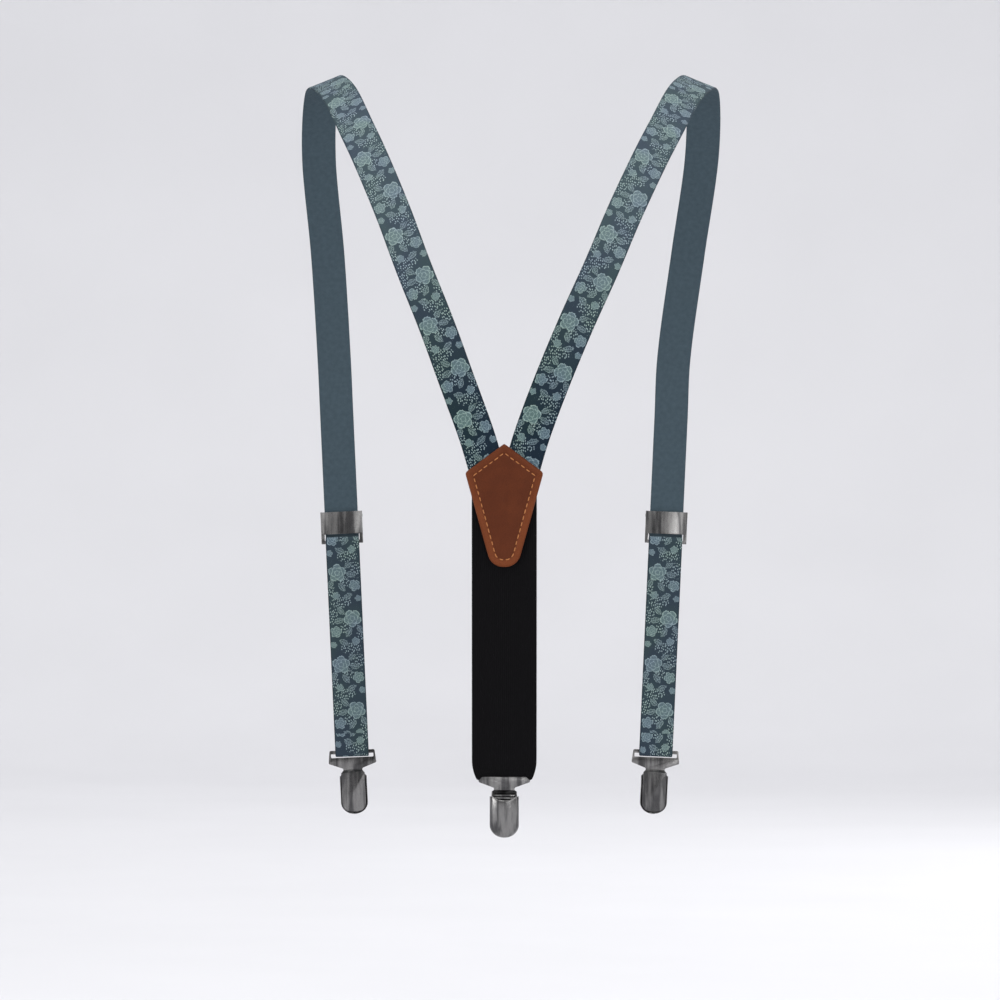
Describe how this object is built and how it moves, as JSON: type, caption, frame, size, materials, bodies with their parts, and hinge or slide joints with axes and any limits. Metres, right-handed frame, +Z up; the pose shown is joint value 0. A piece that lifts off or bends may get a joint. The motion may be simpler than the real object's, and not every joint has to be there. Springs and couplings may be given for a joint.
{
  "type": "suspenders",
  "caption": "Y-back suspenders: printed webbing straps, stitched leather patch, elastic back strap, metal trouser clips and sliding length adjusters.",
  "frame": {"origin": "midway between the shoulders, level with the top of the straps where they cross over them", "axes": "+Z up; -Y is behind the wearer, so the patch and the back strap are on the -Y side; +X is to the wearer's right"},
  "size_m": [0.2597, 0.2649, 0.4568],
  "materials": {
    "webbing": "matte woven floral print in slate blue-green",
    "elastic": "matte black ribbed elastic",
    "leather": "cognac brown, satin, stitched",
    "lining": "dark brown, matte",
    "metal": "polished nickel plate",
    "grip": "dark ribbed plastic"
  },
  "bodies": {
    "yoke": {"patch_front": "leather", "patch_lining": "lining", "elastic_strap": "elastic", "left_shoulder_strap": "webbing", "right_shoulder_strap": "webbing"},
    "back_loop": {"elastic_loop": "elastic"},
    "left_adjuster": {"left_adjuster_base": "metal", "left_adjuster_pin": "metal"},
    "left_adjuster_flap": {"left_adjuster_flap": "metal"},
    "left_loop": {"left_strap_loop": "webbing"},
    "right_adjuster": {"right_adjuster_base": "metal", "right_adjuster_pin": "metal"},
    "right_adjuster_flap": {"right_adjuster_flap": "metal"},
    "right_loop": {"right_strap_loop": "webbing"},
    "back_clip": {"back_clip_frame": "metal", "back_clip_rear_pad": "grip", "back_clip_lever_pin": "metal"},
    "back_clip_jaw": {"back_clip_jaw": "metal", "back_clip_jaw_pad": "grip"},
    "back_clip_lever": {"back_clip_lever": "metal"},
    "left_clip": {"left_clip_frame": "metal", "left_clip_rear_pad": "grip", "left_clip_lever_pin": "metal"},
    "left_clip_jaw": {"left_clip_jaw": "metal", "left_clip_jaw_pad": "grip"},
    "left_clip_lever": {"left_clip_lever": "metal"},
    "right_clip": {"right_clip_frame": "metal", "right_clip_rear_pad": "grip", "right_clip_lever_pin": "metal"},
    "right_clip_jaw": {"right_clip_jaw": "metal", "right_clip_jaw_pad": "grip"},
    "right_clip_lever": {"right_clip_lever": "metal"}
  },
  "joints": [
    {"name": "back_stretch", "type": "slide", "parent": "yoke", "child": "back_loop", "axis": [0, 0.0976, -0.9952], "range_m": [0, 0.05], "stiffness_N_per_m": 200, "springref_m": -0.005, "deforming": ["elastic_strap"]},
    {"name": "left_adjuster_slide", "type": "slide", "parent": "yoke", "child": "left_adjuster", "axis": [-0.0444, -0.0415, 0.9982], "range_m": [-0.09, 0]},
    {"name": "left_adjuster_flap_hinge", "type": "hinge", "parent": "left_adjuster", "child": "left_adjuster_flap", "pos_m": [-0.10261, 0.11711, -0.26365], "axis": [0.999, -0.0018, 0.0443], "range_deg": [0, 105]},
    {"name": "left_loop_slide", "type": "slide", "parent": "yoke", "child": "left_loop", "axis": [-0.0444, -0.0415, 0.9982], "range_m": [-0.045, 0], "deforming": ["left_strap_loop"]},
    {"name": "right_adjuster_slide", "type": "slide", "parent": "yoke", "child": "right_adjuster", "axis": [0.0444, -0.0415, 0.9982], "range_m": [-0.09, 0]},
    {"name": "right_adjuster_flap_hinge", "type": "hinge", "parent": "right_adjuster", "child": "right_adjuster_flap", "pos_m": [0.10261, 0.11711, -0.26365], "axis": [0.999, 0.0018, -0.0443], "range_deg": [0, 105]},
    {"name": "right_loop_slide", "type": "slide", "parent": "yoke", "child": "right_loop", "axis": [0.0444, -0.0415, 0.9982], "range_m": [-0.045, 0], "deforming": ["right_strap_loop"]},
    {"name": "back_clip_swing", "type": "hinge", "parent": "back_loop", "child": "back_clip", "pos_m": [0, -0.11077, -0.41211], "axis": [-1, 0, 0], "range_deg": [-20, 20]},
    {"name": "back_lever_hinge", "type": "hinge", "parent": "back_clip", "child": "back_clip_lever", "pos_m": [0, -0.11215, -0.42882], "axis": [-1, 0, 0], "range_deg": [0, 90]},
    {"name": "back_jaw_hinge", "type": "hinge", "parent": "back_clip", "child": "back_clip_jaw", "pos_m": [0, -0.10959, -0.42727], "axis": [-1, 0, 0], "range_deg": [0, 18]},
    {"name": "left_clip_swing", "type": "hinge", "parent": "left_loop", "child": "left_clip", "pos_m": [-0.096, 0.118, -0.4126], "axis": [0.999, -0.0018, 0.0443], "range_deg": [-20, 20]},
    {"name": "left_lever_hinge", "type": "hinge", "parent": "left_clip", "child": "left_clip_lever", "pos_m": [-0.09527, 0.12169, -0.42894], "axis": [0.999, -0.0018, 0.0443], "range_deg": [0, 90]},
    {"name": "left_jaw_hinge", "type": "hinge", "parent": "left_clip", "child": "left_clip_jaw", "pos_m": [-0.09533, 0.11893, -0.42775], "axis": [0.999, -0.0018, 0.0443], "range_deg": [0, 18]},
    {"name": "right_clip_swing", "type": "hinge", "parent": "right_loop", "child": "right_clip", "pos_m": [0.096, 0.118, -0.4126], "axis": [0.999, 0.0018, -0.0443], "range_deg": [-20, 20]},
    {"name": "right_lever_hinge", "type": "hinge", "parent": "right_clip", "child": "right_clip_lever", "pos_m": [0.09527, 0.12169, -0.42894], "axis": [0.999, 0.0018, -0.0443], "range_deg": [0, 90]},
    {"name": "right_jaw_hinge", "type": "hinge", "parent": "right_clip", "child": "right_clip_jaw", "pos_m": [0.09533, 0.11893, -0.42775], "axis": [0.999, 0.0018, -0.0443], "range_deg": [0, 18]}
  ],
  "couplings": [
    {"joint": "left_loop_slide", "follows": "left_adjuster_slide", "ratio": 0.5},
    {"joint": "right_loop_slide", "follows": "right_adjuster_slide", "ratio": 0.5},
    {"joint": "back_jaw_hinge", "follows": "back_lever_hinge", "ratio": 0.2},
    {"joint": "left_jaw_hinge", "follows": "left_lever_hinge", "ratio": 0.2},
    {"joint": "right_jaw_hinge", "follows": "right_lever_hinge", "ratio": 0.2}
  ]
}
